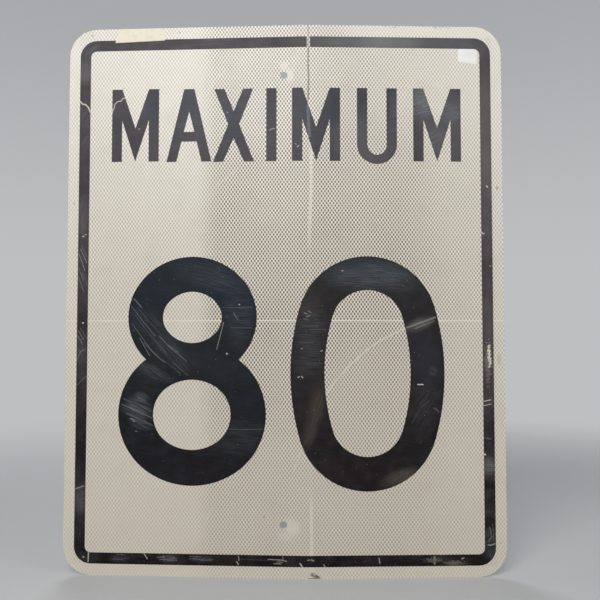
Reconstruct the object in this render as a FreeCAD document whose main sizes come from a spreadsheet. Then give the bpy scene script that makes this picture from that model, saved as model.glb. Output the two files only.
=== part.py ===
# Speed limit sign: a flat sheet sign, bent back a little along one upright line.
# It is a layered panel. An aluminium blank carries a white reflective sheeting, the
# sheeting carries a black border and two black numerals, and a strip of tape and a
# small sticker lie on top.
#
# Frame: millimetres, +Z up, +X to the right as seen from the front, and the face looks
# towards -Y. The origin is on the back of the blank, half-way between the two bolt holes.
# The panel left of the bend lies flat on the plane Y = 0, and the wing right of the bend
# leans back, towards +Y.
#
# Depth is counted from the back of the blank towards the viewer, square to the panel.

import FreeCAD, Part
import math
import os
import Sketcher

# Driving dimensions, in millimetres and degrees

SIZES = [
    ("sign_width", 600, "width of the blank, measured along the sheet"),
    ("sign_height", 750, "height of the blank"),
    ("corner_radius", 38, "corners of the blank and of its sheeting"),
    ("blank_thickness", 2.0, "aluminium sheet"),
    ("sheeting_thickness", 0.4, "prismatic sheeting with its adhesive"),
    ("legend_thickness", 0.1, "black layer of the border and the numerals"),
    ("label_thickness", 0.15, "paper of the tape and of the sticker"),
    ("hole_diameter", 9.5, "punched for an 8 mm bolt"),
    ("hole_spacing", 609.6, "24 steps of a post drilled every 25.4 mm"),
    ("crease_offset", 31, "from the hole line to where the two planes would meet"),
    ("bend_radius", 300, "back of the blank, over the bend"),
    ("fold_angle", 5.2, "how far the wing leans back"),
    ("margin_side", 15, "white edge left and right of the border"),
    ("margin_top", 16, "white edge above the border"),
    ("margin_bottom", 15, "white edge below the border"),
    ("border_width", 15, "black band"),
    ("least_radius", 2, "smallest corner that the border is cut with"),
    ("worn_gap_shift", 2.5, "from the crease to the gap in the top of the border"),
    ("worn_gap_width", 4.5, "black lost over the bend"),
    ("numeral_top", 55.5, "top of both numerals above the middle of the sign"),
    ("eight_offset", 125, "middle of the eight, left of the hole line"),
    ("eight_stroke", 48, "width of the stroke of the eight"),
    ("eight_upper_half_width", 88.4, "upper lobe, outside"),
    ("eight_upper_half_height", 82.9, "upper lobe, outside"),
    ("eight_upper_flatten", 4.9, "upper lobe, half height less the radius at its sides"),
    ("eight_lower_half_width", 101, "lower lobe, outside"),
    ("eight_lower_half_height", 95.2, "lower lobe, outside"),
    ("eight_lower_flatten", 2.4, "lower lobe, half height less the radius at its sides"),
    ("eight_lobe_lap", 46.2, "how far the two lobes lap, near one stroke"),
    ("zero_offset", 113, "middle of the zero, right of the hole line"),
    ("zero_stroke", 46, "width of the stroke of the zero"),
    ("zero_half_width", 104, "outside"),
    ("zero_half_height", 158.2, "outside"),
    ("zero_flatten", 9.2, "half width less the radius at its ends"),
    ("tape_from_edge", 64, "from the left edge of the sign to the tape's lower corner"),
    ("tape_length", 70, "along its lower edge"),
    ("tape_height", 19.5, "from its lower edge up to the top of the sign"),
    ("tape_rise", 2.1, "how much higher the lower edge ends on the right"),
    ("tape_slant_left", 6, "lean of the torn left end"),
    ("tape_slant_right", 3, "lean of the torn right end"),
    ("sticker_into_corner", 4.3, "how far its right side reaches into the border's inner corner"),
    ("sticker_width", 26, "along its upper edge"),
    ("sticker_height", 17.5, "at its left side"),
    ("sticker_drop", 3.5, "how much lower its bottom right corner hangs"),
    ("sticker_corner_radius", 3, "rounded corners"),
    ("sticker_clearance", 0.3, "from the black band above it"),
]

# Spans worked out from the sheet's cells, as expressions in its own words

HALF_WIDTH = "Sizes.sign_width / 2"
HALF_HEIGHT = "Sizes.sign_height / 2"
SHEETING_BACK = "Sizes.blank_thickness"
LEGEND_BACK = "(Sizes.blank_thickness + Sizes.sheeting_thickness)"
LABEL_BACK = "(Sizes.blank_thickness + Sizes.sheeting_thickness + Sizes.legend_thickness)"
BEND_CENTRE_X = "(Sizes.crease_offset - Sizes.bend_radius * tan(Sizes.fold_angle / 2))"
BEND_LENGTH = "((Sizes.bend_radius + Sizes.blank_thickness / 2) * Sizes.fold_angle * pi / 180)"
WING_LENGTH = f"({HALF_WIDTH} - {BEND_CENTRE_X} - {BEND_LENGTH})"
WING_DEPTH = "(Sizes.sign_width * sin(Sizes.fold_angle) + Sizes.blank_thickness)"
BORDER_DEPTH = "(Sizes.margin_side + Sizes.border_width)"
WINDOW_CORNER = f"max(Sizes.corner_radius - {BORDER_DEPTH}; Sizes.least_radius)"
WING_START = f"({BEND_CENTRE_X} + (Sizes.bend_radius + {LEGEND_BACK}) * sin(Sizes.fold_angle))"
WINDOW_RIGHT = f"({WING_START} + ({WING_LENGTH} - {BORDER_DEPTH}) * cos(Sizes.fold_angle))"

NODES = [
    "sign_blank",
    "reflective_sheeting",
    "border_band",
    "numeral_eight",
    "numeral_zero",
    "tape_strip",
    "paper_sticker",
]

document = FreeCAD.newDocument("speed_limit_sign")
sizes = document.addObject("Spreadsheet::Sheet", "Sizes")
for row, (alias, value, note) in enumerate(SIZES, start=1):
    sizes.set(f"A{row}", alias)
    sizes.set(f"B{row}", str(value))
    sizes.set(f"C{row}", note)
    sizes.setAlias(f"B{row}", alias)
document.recompute()


def worth(expression):
    """The number that an expression on the sheet's cells comes to now."""
    return float(sizes.evalExpression(expression))


# Sketching helpers

def origin_plane(body, role):
    return next(feature for feature in body.Origin.OriginFeatures if feature.Role == role)


def new_body(name):
    return document.addObject("PartDesign::Body", name)


def new_sketch(body, name, role):
    sketch = body.newObject("Sketcher::SketchObject", name)
    sketch.AttachmentSupport = [(origin_plane(body, role), "")]
    sketch.MapMode = "FlatFace"
    document.recompute()
    return sketch


def line(sketch, start, end):
    return sketch.addGeometry(Part.LineSegment(FreeCAD.Vector(*start, 0), FreeCAD.Vector(*end, 0)))


def arc(sketch, centre, radius, from_angle, to_angle):
    circle = Part.Circle(FreeCAD.Vector(*centre, 0), FreeCAD.Vector(0, 0, 1), radius)
    return sketch.addGeometry(Part.ArcOfCircle(circle, from_angle, to_angle))


def hold(sketch, kind, *where):
    sketch.addConstraint(Sketcher.Constraint(kind, *where))


def dimension(sketch, kind, *where_and_expression):
    """Adds a dimension and binds it to an expression on the sheet's cells."""
    *where, expression = where_and_expression
    index = sketch.addConstraint(Sketcher.Constraint(kind, *where, worth(expression)))
    sketch.setExpression(f"Constraints[{index}]", expression)


POINTS = ["whole edge", "start", "end", "centre"]
START = POINTS.index("start")
END = POINTS.index("end")
CENTRE = POINTS.index("centre")
LEVEL_AXIS = -1
UPRIGHT_AXIS = LEVEL_AXIS - 1
ORIGIN = (LEVEL_AXIS, START)


def place_point(sketch, element, point, across, up):
    dimension(sketch, "DistanceX", *ORIGIN, element, point, across)
    dimension(sketch, "DistanceY", *ORIGIN, element, point, up)


# The bent strip: the section of one layer, seen from above

def bent_section(sketch, back, front, side_inset):
    """Draws a layer between two depths: flat to the left, an arc, and the straight wing.

    The two arcs share one centre behind the panel, so layers lie on each other, and the
    wing's end is square to it, as the edge of a sheet is.
    """
    fold = math.radians(worth("Sizes.fold_angle"))
    left = -worth(f"{HALF_WIDTH} - ({side_inset})")
    centre = (worth(BEND_CENTRE_X), worth("Sizes.bend_radius"))
    wing = worth(f"{WING_LENGTH} - ({side_inset})")
    radius = {depth: centre[1] + worth(depth) for depth in (back, front)}
    step = (wing * math.cos(fold), wing * math.sin(fold))
    turn = {
        depth: (centre[0] + r * math.sin(fold), centre[1] - r * math.cos(fold))
        for depth, r in radius.items()
    }
    tip = {depth: (x + step[0], y + step[1]) for depth, (x, y) in turn.items()}
    level = {depth: centre[1] - r for depth, r in radius.items()}
    begin = -math.pi / 2

    flat_back = line(sketch, (left, level[back]), (centre[0], level[back]))
    arc_back = arc(sketch, centre, radius[back], begin, begin + fold)
    wing_back = line(sketch, turn[back], tip[back])
    wing_end = line(sketch, tip[back], tip[front])
    wing_front = line(sketch, tip[front], turn[front])
    arc_front = arc(sketch, centre, radius[front], begin, begin + fold)
    flat_front = line(sketch, (centre[0], level[front]), (left, level[front]))
    left_end = line(sketch, (left, level[front]), (left, level[back]))

    hold(sketch, "Tangent", flat_back, END, arc_back, START)
    hold(sketch, "Tangent", arc_back, END, wing_back, START)
    hold(sketch, "Coincident", wing_back, END, wing_end, START)
    hold(sketch, "Coincident", wing_end, END, wing_front, START)
    hold(sketch, "Tangent", wing_front, END, arc_front, END)
    hold(sketch, "Tangent", arc_front, START, flat_front, START)
    hold(sketch, "Coincident", flat_front, END, left_end, START)
    hold(sketch, "Coincident", left_end, END, flat_back, START)
    hold(sketch, "Horizontal", flat_back)
    hold(sketch, "Horizontal", flat_front)
    hold(sketch, "Vertical", left_end)
    hold(sketch, "Parallel", wing_back, wing_front)
    hold(sketch, "Perpendicular", wing_back, wing_end)
    hold(sketch, "Coincident", arc_back, CENTRE, arc_front, CENTRE)
    place_point(sketch, arc_back, CENTRE, BEND_CENTRE_X, "Sizes.bend_radius")
    dimension(sketch, "Radius", arc_back, f"Sizes.bend_radius + ({back})")
    dimension(sketch, "Radius", arc_front, f"Sizes.bend_radius + ({front})")
    dimension(sketch, "DistanceX", *ORIGIN, flat_back, START, f"({side_inset}) - {HALF_WIDTH}")
    length = f"({WING_LENGTH} - ({side_inset}))"
    across = f"{length} * cos(Sizes.fold_angle)"
    dimension(sketch, "DistanceX", wing_back, START, wing_back, END, across)
    along = f"{length} * sin(Sizes.fold_angle)"
    dimension(sketch, "DistanceY", wing_back, START, wing_back, END, along)


def thickness_edges(shape, thickness):
    """Names of a bent slab's short edges, the ones that run through its thickness."""
    names = []
    for number, edge in enumerate(shape.Edges, start=1):
        if abs(edge.Length - thickness) < thickness / 10:
            names.append(f"Edge{number}")
    return names


def bent_slab(name, back, front, side_inset="0", low_inset="0", high_inset="0", corner=None):
    """A body for one layer of the panel, with rounded corners where a radius is given."""
    body = new_body(name)
    section = new_sketch(body, f"{name}_section", "XY_Plane")
    bent_section(section, back, front, side_inset)
    height = body.newObject("PartDesign::Pad", f"{name}_height")
    height.Profile = section
    height.SideType = "Two sides"
    height.setExpression("Length", f"{HALF_HEIGHT} - ({high_inset})")
    height.setExpression("Length2", f"{HALF_HEIGHT} - ({low_inset})")
    document.recompute()
    if corner:
        rounding = body.newObject("PartDesign::Fillet", f"{name}_corners")
        thickness = worth(f"({front}) - ({back})")
        rounding.Base = (height, thickness_edges(height.Shape, thickness))
        rounding.setExpression("Radius", corner)
        document.recompute()
    return body


def punch_bolt_holes(body):
    """Two round holes on the upright line, above and below the origin."""
    sketch = new_sketch(body, f"{body.Name}_holes", "XZ_Plane")
    radius = worth("Sizes.hole_diameter / 2")
    for side in (1, -1):
        rise = f"{side} * Sizes.hole_spacing / 2"
        centre = FreeCAD.Vector(0, worth(rise), 0)
        hole = sketch.addGeometry(Part.Circle(centre, FreeCAD.Vector(0, 0, 1), radius))
        hold(sketch, "PointOnObject", hole, CENTRE, UPRIGHT_AXIS)
        dimension(sketch, "DistanceY", *ORIGIN, hole, CENTRE, rise)
        dimension(sketch, "Radius", hole, "Sizes.hole_diameter / 2")
    punch(body, sketch, "bolt_holes")


def punch(body, sketch, name):
    """Cuts a sketch on the upright plane through the whole body, both ways."""
    before = body.Shape.Volume
    pocket = body.newObject("PartDesign::Pocket", f"{body.Name}_{name}")
    pocket.Profile = sketch
    pocket.Type = "ThroughAll"
    pocket.SideType = "Symmetric"
    document.recompute()
    if not body.Shape.Volume < before:
        raise RuntimeError(f"{pocket.Name} cuts nothing")


# Outlines that are cut through the black layer, drawn on the upright plane

def upright_pad(body, sketch, name):
    """Pads a sketch on the upright plane both ways, past the lean of the wing."""
    pad = body.newObject("PartDesign::Pad", f"{body.Name}_{name}")
    pad.Profile = sketch
    pad.SideType = "Symmetric"
    pad.setExpression("Length", f"2 * {WING_DEPTH}")
    document.recompute()
    return pad


def oval(sketch, across, up, half_width, half_height, flatten, inset="0"):
    """Draws an oval of four tangent arcs, as a sign maker sets one out with compasses.

    The two small arcs lie at the ends of the longer axis. Their radius is the shorter
    half axis less the flattening. The radius of the two large arcs follows, because each
    touches both small ones. An inset draws the parallel oval inside.
    """
    wide = worth(half_width) >= worth(half_height)
    longer, shorter = (half_width, half_height) if wide else (half_height, half_width)
    small = f"(min({half_width}; {half_height}) - {flatten})"
    reach = f"(({longer}) - {small})"
    large = f"((({shorter})^2 + {reach}^2 - {small}^2) / (2 * (({shorter}) - {small})))"
    x, z = worth(across), worth(up)
    offset = worth(reach)
    small_radius, large_radius = worth(small), worth(large)
    sink = large_radius - worth(shorter)
    cut = worth(inset)
    if wide:
        centres = [(x + offset, z), (x, z - sink), (x - offset, z), (x, z + sink)]
        radii = [small_radius, large_radius, small_radius, large_radius]
        join = math.atan2(sink, offset)
    else:
        centres = [(x - sink, z), (x, z + offset), (x + sink, z), (x, z - offset)]
        radii = [large_radius, small_radius, large_radius, small_radius]
        join = math.atan2(offset, sink)
    spans = [
        (-join, join),
        (join, math.pi - join),
        (math.pi - join, math.pi + join),
        (math.pi + join, 2 * math.pi - join),
    ]
    arcs = [
        arc(sketch, centre, radius - cut, *span)
        for centre, radius, span in zip(centres, radii, spans)
    ]
    for this, following in zip(arcs, arcs[1:] + arcs[:1]):
        hold(sketch, "Tangent", this, END, following, START)
    small_arcs, large_arcs = (arcs[0::2], arcs[1::2]) if wide else (arcs[1::2], arcs[0::2])
    for side, element in zip((1, -1), small_arcs):
        shift = f" + {side} * {reach}"
        place = (across + shift, up) if wide else (across, up + shift)
        place_point(sketch, element, CENTRE, *place)
        dimension(sketch, "Radius", element, f"{small} - ({inset})")
    for element in large_arcs:
        dimension(sketch, "Radius", element, f"{large} - ({inset})")


def polygon(sketch, corners):
    """Draws a closed outline through corners given as pairs of expressions."""
    points = [(worth(across), worth(up)) for across, up in corners]
    sides = [
        line(sketch, start, end)
        for start, end in zip(points, points[1:] + points[:1])
    ]
    for this, following in zip(sides, sides[1:] + sides[:1]):
        hold(sketch, "Coincident", this, END, following, START)
    for side, (across, up) in zip(sides, corners):
        place_point(sketch, side, START, across, up)


def add_lobe(body, name, across, up, half_width, half_height, flatten):
    sketch = new_sketch(body, f"{body.Name}_{name}", "XZ_Plane")
    oval(sketch, across, up, half_width, half_height, flatten)
    return upright_pad(body, sketch, f"{name}_pad")


def cut_counter(body, name, across, up, half_width, half_height, flatten, stroke):
    """Opens the inside of a lobe, one stroke in from its outline."""
    sketch = new_sketch(body, f"{body.Name}_{name}", "XZ_Plane")
    oval(sketch, across, up, half_width, half_height, flatten, inset=stroke)
    punch(body, sketch, f"{name}_pocket")


def common(name, base, tool):
    both = document.addObject("Part::Common", name)
    both.Base = base
    both.Tool = tool
    document.recompute()
    return both


def cut(name, base, tool):
    rest = document.addObject("Part::Cut", name)
    rest.Base = base
    rest.Tool = tool
    document.recompute()
    return rest


# The blank: 2 mm aluminium sheet, corners rounded, two bolt holes punched

def sign_blank():
    body = bent_slab("sign_blank", "0", SHEETING_BACK, corner="Sizes.corner_radius")
    punch_bolt_holes(body)
    return body


# The sheeting: one white sheet over the whole front of the blank, punched with it

def reflective_sheeting():
    corner = "Sizes.corner_radius"
    body = bent_slab("reflective_sheeting", SHEETING_BACK, LEGEND_BACK, corner=corner)
    punch_bolt_holes(body)
    return body


# The border: a band inside the edge, worn through at the top where the sheet is bent

def border_band():
    ring = {
        "side_inset": "Sizes.margin_side",
        "low_inset": "Sizes.margin_bottom",
        "high_inset": "Sizes.margin_top",
    }
    window = {place: f"{inset} + Sizes.border_width" for place, inset in ring.items()}
    ring_corner = "max(Sizes.corner_radius - Sizes.margin_side; Sizes.least_radius)"
    outer = bent_slab("border_outer", LEGEND_BACK, LABEL_BACK, corner=ring_corner, **ring)
    past = "Sizes.blank_thickness"
    inner = bent_slab(
        "border_inner",
        f"{LEGEND_BACK} - {past}",
        f"{LABEL_BACK} + {past}",
        corner=WINDOW_CORNER,
        **window,
    )
    whole = cut("border_whole", outer, inner)

    gap = new_body("border_gap")
    sketch = new_sketch(gap, "border_gap_outline", "XZ_Plane")
    middle = "Sizes.crease_offset + Sizes.worn_gap_shift"
    left = f"{middle} - Sizes.worn_gap_width / 2"
    right = f"{middle} + Sizes.worn_gap_width / 2"
    low = f"{HALF_HEIGHT} - Sizes.margin_top - 2 * Sizes.border_width"
    polygon(sketch, [(left, low), (right, low), (right, HALF_HEIGHT), (left, HALF_HEIGHT)])
    upright_pad(gap, sketch, "pad")
    return cut("border_band", whole, gap)


# The numerals: cut from one black layer that follows the bend

def numeral_eight(black_layer):
    """Two oval rings that share the bar between them."""
    body = new_body("eight_outline")
    across = "-Sizes.eight_offset"
    upper_up = "Sizes.numeral_top - Sizes.eight_upper_half_height"
    lobes_apart = (
        "(Sizes.eight_upper_half_height + Sizes.eight_lower_half_height"
        " - Sizes.eight_lobe_lap)"
    )
    lower_up = f"{upper_up} - {lobes_apart}"
    lobes = [("upper", upper_up), ("lower", lower_up)]
    forms = {
        name: (
            across,
            up,
            f"Sizes.eight_{name}_half_width",
            f"Sizes.eight_{name}_half_height",
            f"Sizes.eight_{name}_flatten",
        )
        for name, up in lobes
    }
    for name, form in forms.items():
        add_lobe(body, f"{name}_lobe", *form)
    for name, form in forms.items():
        cut_counter(body, f"{name}_counter", *form, "Sizes.eight_stroke")
    return common("numeral_eight", body, black_layer)


def numeral_zero(black_layer):
    """One tall oval ring. Its left side lies over the bend."""
    body = new_body("zero_outline")
    form = (
        "Sizes.zero_offset",
        "Sizes.numeral_top - Sizes.zero_half_height",
        "Sizes.zero_half_width",
        "Sizes.zero_half_height",
        "Sizes.zero_flatten",
    )
    add_lobe(body, "lobe", *form)
    cut_counter(body, "counter", *form, "Sizes.zero_stroke")
    return common("numeral_zero", body, black_layer)


# The labels: a torn strip of tape at the top edge and a small sticker by the corner

def tape_strip(band):
    """Lies on the white margin and laps the border, so its back is stepped to both."""
    outline = new_body("tape_outline")
    sketch = new_sketch(outline, "tape_corners", "XZ_Plane")
    left = f"Sizes.tape_from_edge - {HALF_WIDTH}"
    right = f"{left} + Sizes.tape_length"
    low = f"{HALF_HEIGHT} - Sizes.tape_height"
    corners = [
        (left, low),
        (right, f"{low} + Sizes.tape_rise"),
        (f"{right} - Sizes.tape_slant_right", HALF_HEIGHT),
        (f"{left} + Sizes.tape_slant_left", HALF_HEIGHT),
    ]
    polygon(sketch, corners)
    upright_pad(outline, sketch, "pad")
    layer = bent_slab("tape_layer", LEGEND_BACK, f"{LABEL_BACK} + Sizes.label_thickness")
    strip = common("tape_whole", outline, layer)
    return cut("tape_strip", strip, band)


def paper_sticker():
    """Sits just under the border at the top right corner, on the leaning wing."""
    outline = new_body("sticker_outline")
    sketch = new_sketch(outline, "sticker_corners", "XZ_Plane")
    inset = f"max({WINDOW_CORNER} - Sizes.sticker_into_corner; Sizes.sticker_clearance)"
    right = f"{WINDOW_RIGHT} - {inset}"
    left = f"{right} - Sizes.sticker_width"
    band_edge = f"{HALF_HEIGHT} - Sizes.margin_top - Sizes.border_width"
    high = f"{band_edge} - Sizes.sticker_clearance"
    low = f"{high} - Sizes.sticker_height"
    corners = [(left, low), (right, f"{low} - Sizes.sticker_drop"), (right, high), (left, high)]
    polygon(sketch, corners)
    pad = upright_pad(outline, sketch, "pad")
    rounding = outline.newObject("PartDesign::Fillet", "sticker_rounding")
    rounding.Base = (pad, thickness_edges(pad.Shape, worth(f"2 * {WING_DEPTH}")))
    rounding.setExpression("Radius", "Sizes.sticker_corner_radius")
    document.recompute()
    layer = bent_slab("sticker_layer", LEGEND_BACK, f"{LEGEND_BACK} + Sizes.label_thickness")
    return common("paper_sticker", outline, layer)


# Building, checking and writing

def check(names):
    failed = [
        thing.Name
        for thing in document.Objects
        if {"Invalid", "Error"} & set(thing.State)
    ]
    if failed:
        raise RuntimeError(f"not rebuilt: {failed}")
    for name in names:
        shape = document.getObject(name).Shape
        if shape.isNull() or not shape.isValid() or len(shape.Solids) != 1:
            raise RuntimeError(f"{name} is not one sound solid")


def write(names, folder="parts"):
    os.makedirs(folder, exist_ok=True)
    for name in names:
        piece = document.getObject(name)
        piece.Label = name
        piece.Shape.exportStep(f"{folder}/{piece.Label}.step")
        box = piece.Shape.BoundBox
        print(
            f"{name}: {box.XLength:.1f} x {box.YLength:.1f} x {box.ZLength:.1f} mm,"
            f" {piece.Shape.Volume:.0f} mm3"
        )


sign_blank()
reflective_sheeting()
band = border_band()
black_layer = bent_slab("black_layer", LEGEND_BACK, LABEL_BACK)
numeral_eight(black_layer)
numeral_zero(black_layer)
tape_strip(band)
paper_sticker()
document.recompute()
check(NODES)
write(NODES)
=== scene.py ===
# %% [markdown]
# A worn speed limit sign, dressed for a photograph.
#
# The real sign is an aluminium sheet with white prismatic sheeting laminated over its whole
# front. A black border, a word and two numerals are printed on that, and someone has since
# stuck a strip of tape and a small label on it. The solid pieces come from the packed
# model, at their real size. This script adds the word, gives every piece its finish and
# sets up a small studio around it.
#
# Everything is in metres, +Z is up, and the printed face looks towards -Y. Sizes on the
# sign are written in millimetres, because that is how a sign maker measures them.

# %% Load the solid pieces
import math

import bmesh
import bpy
from mathutils import Matrix, Vector


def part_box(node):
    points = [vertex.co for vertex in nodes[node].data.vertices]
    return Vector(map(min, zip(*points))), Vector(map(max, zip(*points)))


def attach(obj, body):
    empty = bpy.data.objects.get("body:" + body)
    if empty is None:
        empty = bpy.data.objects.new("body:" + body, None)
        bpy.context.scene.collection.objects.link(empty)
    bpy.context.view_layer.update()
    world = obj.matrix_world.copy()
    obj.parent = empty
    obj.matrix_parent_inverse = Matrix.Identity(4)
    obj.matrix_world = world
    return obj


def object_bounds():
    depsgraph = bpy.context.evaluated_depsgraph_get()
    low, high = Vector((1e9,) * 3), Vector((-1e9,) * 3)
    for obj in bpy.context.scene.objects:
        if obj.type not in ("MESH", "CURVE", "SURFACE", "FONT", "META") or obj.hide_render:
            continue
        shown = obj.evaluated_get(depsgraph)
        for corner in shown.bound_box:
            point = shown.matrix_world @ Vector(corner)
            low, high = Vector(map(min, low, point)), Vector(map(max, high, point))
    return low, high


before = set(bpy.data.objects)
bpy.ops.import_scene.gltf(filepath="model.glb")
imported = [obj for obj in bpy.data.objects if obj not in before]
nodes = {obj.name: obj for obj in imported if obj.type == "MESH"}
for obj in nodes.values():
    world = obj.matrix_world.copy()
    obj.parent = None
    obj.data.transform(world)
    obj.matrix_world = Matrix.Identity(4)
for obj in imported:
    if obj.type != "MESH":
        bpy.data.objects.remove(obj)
solid_low, solid_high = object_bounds()
MM = 0.001
BOTTOM, TOP = solid_low.z / MM, solid_high.z / MM
print("pieces:", ", ".join(sorted(nodes)))

# %% [markdown]
# The sheet is bent back along one upright line, right of the bolt holes. A point of the
# flat sheet has to be carried over that bend before it lies on the real one. It could be
# done with a lattice or a Simple Deform modifier, but the bend is one arc between two
# planes, so a few lines of trigonometry place every point exactly.

# %% Where a point of the flat sheet lies on the bent one
FOLD = math.radians(5.2)
CREASE = 31
BEND_RADIUS = 300
BLANK_THICKNESS = 2.0
FILM_BACK = 2.4
FILM_FRONT = 2.5
BEND_START = CREASE - BEND_RADIUS * math.tan(FOLD / 2)
BEND_LENGTH = (BEND_RADIUS + BLANK_THICKNESS / 2) * FOLD


def on_panel(across, depth, up):
    """Carries a point from the flat sheet to the bent one: millimetres in, metres out.

    Depth is counted from the back of the blank towards the viewer.
    """
    turned = min(max((across - BEND_START) / BEND_LENGTH, 0), 1) * FOLD
    before = min(across, BEND_START)
    beyond = max(across - BEND_START - BEND_LENGTH, 0)
    radius = BEND_RADIUS + depth
    x = before + radius * math.sin(turned) + beyond * math.cos(turned)
    y = BEND_RADIUS - radius * math.cos(turned) + beyond * math.sin(turned)
    return Vector((x, y, up)) * MM


half_width = 300
wing_edge = on_panel(half_width, FILM_BACK, 0)
sheeting_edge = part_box("reflective_sheeting")[1].x
print(f"right edge: {wing_edge.x:.4f} m by the formula, {sheeting_edge:.4f} m in the model")

# %% [markdown]
# The camera stands where the photographer stood: about a metre in front of the sign, a
# little right of its middle and just below half its height. A 45 mm lens on a 36 mm sensor
# gives the same field of view.

# %% The camera
def in_scene(name, data):
    """A new object in the scene."""
    made = bpy.data.objects.new(name, data)
    bpy.context.scene.collection.objects.link(made)
    return made


def aimed(name, data, place, target):
    """A new camera or lamp that looks from one point to another."""
    made = in_scene(name, data)
    made.location = place
    made.rotation_mode = "QUATERNION"
    made.rotation_quaternion = (Vector(target) - made.location).to_track_quat("-Z", "Y")
    return made


camera_place = Vector((0.0811, -1.0140, -0.0524))
camera_target = Vector((0.0220, -0.0024, -0.0041))
lens_data = bpy.data.cameras.new("camera")
lens_data.lens = 45
lens_data.sensor_width = 36
bpy.context.scene.camera = aimed("camera", lens_data, camera_place, camera_target)
bpy.context.scene.view_settings.view_transform = "Standard"
print(f"camera {(camera_target - camera_place).length:.2f} m from the face")

# %% [markdown]
# Shader maths reads badly as boxes and wires, so two small classes turn it into ordinary
# sums. The first one, `Value`, wraps an output socket and overloads the operators, so that
# a sum with it adds the Math nodes that work it out. The reflected forms let a plain number
# stand first, as in `1 - mask`.

# %% A value that takes part in sums
class Value:
    """An output of a node. A sum with it adds Math nodes to the material it belongs to."""

    def __init__(self, finish, socket):
        self.finish = finish
        self.socket = socket

    def __add__(self, other):
        return self.finish.math("ADD", self, other)

    def __sub__(self, other):
        return self.finish.math("SUBTRACT", self, other)

    def __rsub__(self, other):
        return self.finish.math("SUBTRACT", other, self)

    def __mul__(self, other):
        return self.finish.math("MULTIPLY", self, other)

    __radd__ = __add__


sums = [name.strip("_") for name in vars(Value) if name.endswith(("add__", "sub__", "mul__"))]
print("a Value takes part in:", ", ".join(sums))

# %% [markdown]
# The second class, `Finish`, owns one material. A single method, `node`, adds any node:
# first its settings, because some of them decide which sockets there are, and then the
# values and links of its sockets. The other methods are short names for the nodes that are
# used most. A finish starts from Object coordinates, scaled to millimetres, so that every
# pattern has its real size and stays on its piece from every side.

# %% A material built in plain steps
def find(sockets, name):
    """A socket by its number or by its name, passing over the ones that aren't in use."""
    if isinstance(name, int):
        return sockets[name]
    return next(socket for socket in sockets if socket.enabled and socket.name == name)


class Finish:
    """One material. Patterns are laid out in millimetres on the face of the sign."""

    def __init__(self, name):
        self.material = bpy.data.materials.new(name)
        self.material.use_nodes = True
        self.tree = self.material.node_tree
        self.tree.nodes.clear()
        position = self.node("ShaderNodeTexCoord", output="Object")
        self.place = self.vector("MULTIPLY", position, (1 / MM, 0, 1 / MM))
        self.across = self.part_of(self.place, "X")
        self.up = self.part_of(self.place, "Z")

    def node(self, kind, settings=None, inputs=None, output=0):
        made = self.tree.nodes.new(kind)
        for setting, value in (settings or {}).items():
            if setting == "stops":
                self.set_stops(made.color_ramp.elements, value)
            else:
                setattr(made, setting, value)
        for name, value in (inputs or {}).items():
            socket = find(made.inputs, name)
            if isinstance(value, Value):
                self.tree.links.new(value.socket, socket)
            else:
                socket.default_value = value
        return Value(self, find(made.outputs, output)) if made.outputs else made

    @staticmethod
    def set_stops(elements, stops):
        while len(elements) < len(stops):
            elements.new(1.0)
        for element, (position, colour) in zip(elements, stops):
            element.position = position
            element.color = colour

    def math(self, operation, *values, clamp=False):
        settings = {"operation": operation, "use_clamp": clamp}
        return self.node("ShaderNodeMath", settings, dict(enumerate(values)))

    def vector(self, operation, *values, output=0):
        settings = {"operation": operation}
        return self.node("ShaderNodeVectorMath", settings, dict(enumerate(values)), output)

    def part_of(self, place, axis):
        return self.node("ShaderNodeSeparateXYZ", inputs={"Vector": place}, output=axis)

    def mix(self, share, first, second):
        """A colour between two others."""
        inputs = {"Factor": share, "A": first, "B": second}
        return self.node("ShaderNodeMix", {"data_type": "RGBA"}, inputs, "Result")

    def fade(self, value, start, end, low=0.0, high=1.0):
        """A soft step: low before start, high after end. It runs backwards too."""
        inputs = {"Value": value, "From Min": start, "From Max": end, "To Min": low, "To Max": high}
        return self.node("ShaderNodeMapRange", {"interpolation_type": "SMOOTHSTEP"}, inputs)

    def noise(self, place, scale, detail=3.0, roughness=0.5):
        inputs = {"Vector": place, "Scale": scale, "Detail": detail, "Roughness": roughness}
        return self.node("ShaderNodeTexNoise", {"noise_dimensions": "3D"}, inputs)

    def bump(self, height, strength, distance=0.0001):
        """A normal tilted by a relief. Its distance is in metres, from low to high."""
        inputs = {"Strength": strength, "Distance": distance, "Height": height}
        return self.node("ShaderNodeBump", inputs=inputs)

    def surface(self, **sockets):
        """Ends the material in a Principled BSDF. Names use _ where the socket has a space."""
        inputs = {name.replace("_", " "): value for name, value in sockets.items()}
        shader = self.node("ShaderNodeBsdfPrincipled", inputs=inputs)
        self.node("ShaderNodeOutputMaterial", inputs={"Surface": shader})
        return self.material


print("a Finish adds nodes with:", ", ".join(name for name in vars(Finish) if name[0] != "_"))

# %% [markdown]
# Colours are judged on a screen, which numbers them from 0 to 255 on a scale that suits the
# eye. A shader works in linear light. Each colour below is written as the screen shows it
# and turned into linear light by one function, so it can be compared with the real thing.

# %% Colours as a screen shows them
def tone(red, green, blue):
    """A colour as a screen shows it, 0 to 255, turned into linear light."""
    def linear(level):
        share = level / 255
        return share / 12.92 if share <= 0.04045 else ((share + 0.055) / 1.055) ** 2.4
    return (linear(red), linear(green), linear(blue), 1.0)


print(f"middle grey, 128 of 255, is {tone(128, 128, 128)[0]:.3f} in linear light")

# %% [markdown]
# A scratch is a run of straight stretches, drawn here as a mask between 0 and 1 that is
# worked out from the distance to the nearest stretch. It could be painted as an image, but
# a mask made from distance is as sharp as the render asks for. The place that it is
# measured from is nudged a little by noise, so that no line is perfectly clean.

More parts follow.
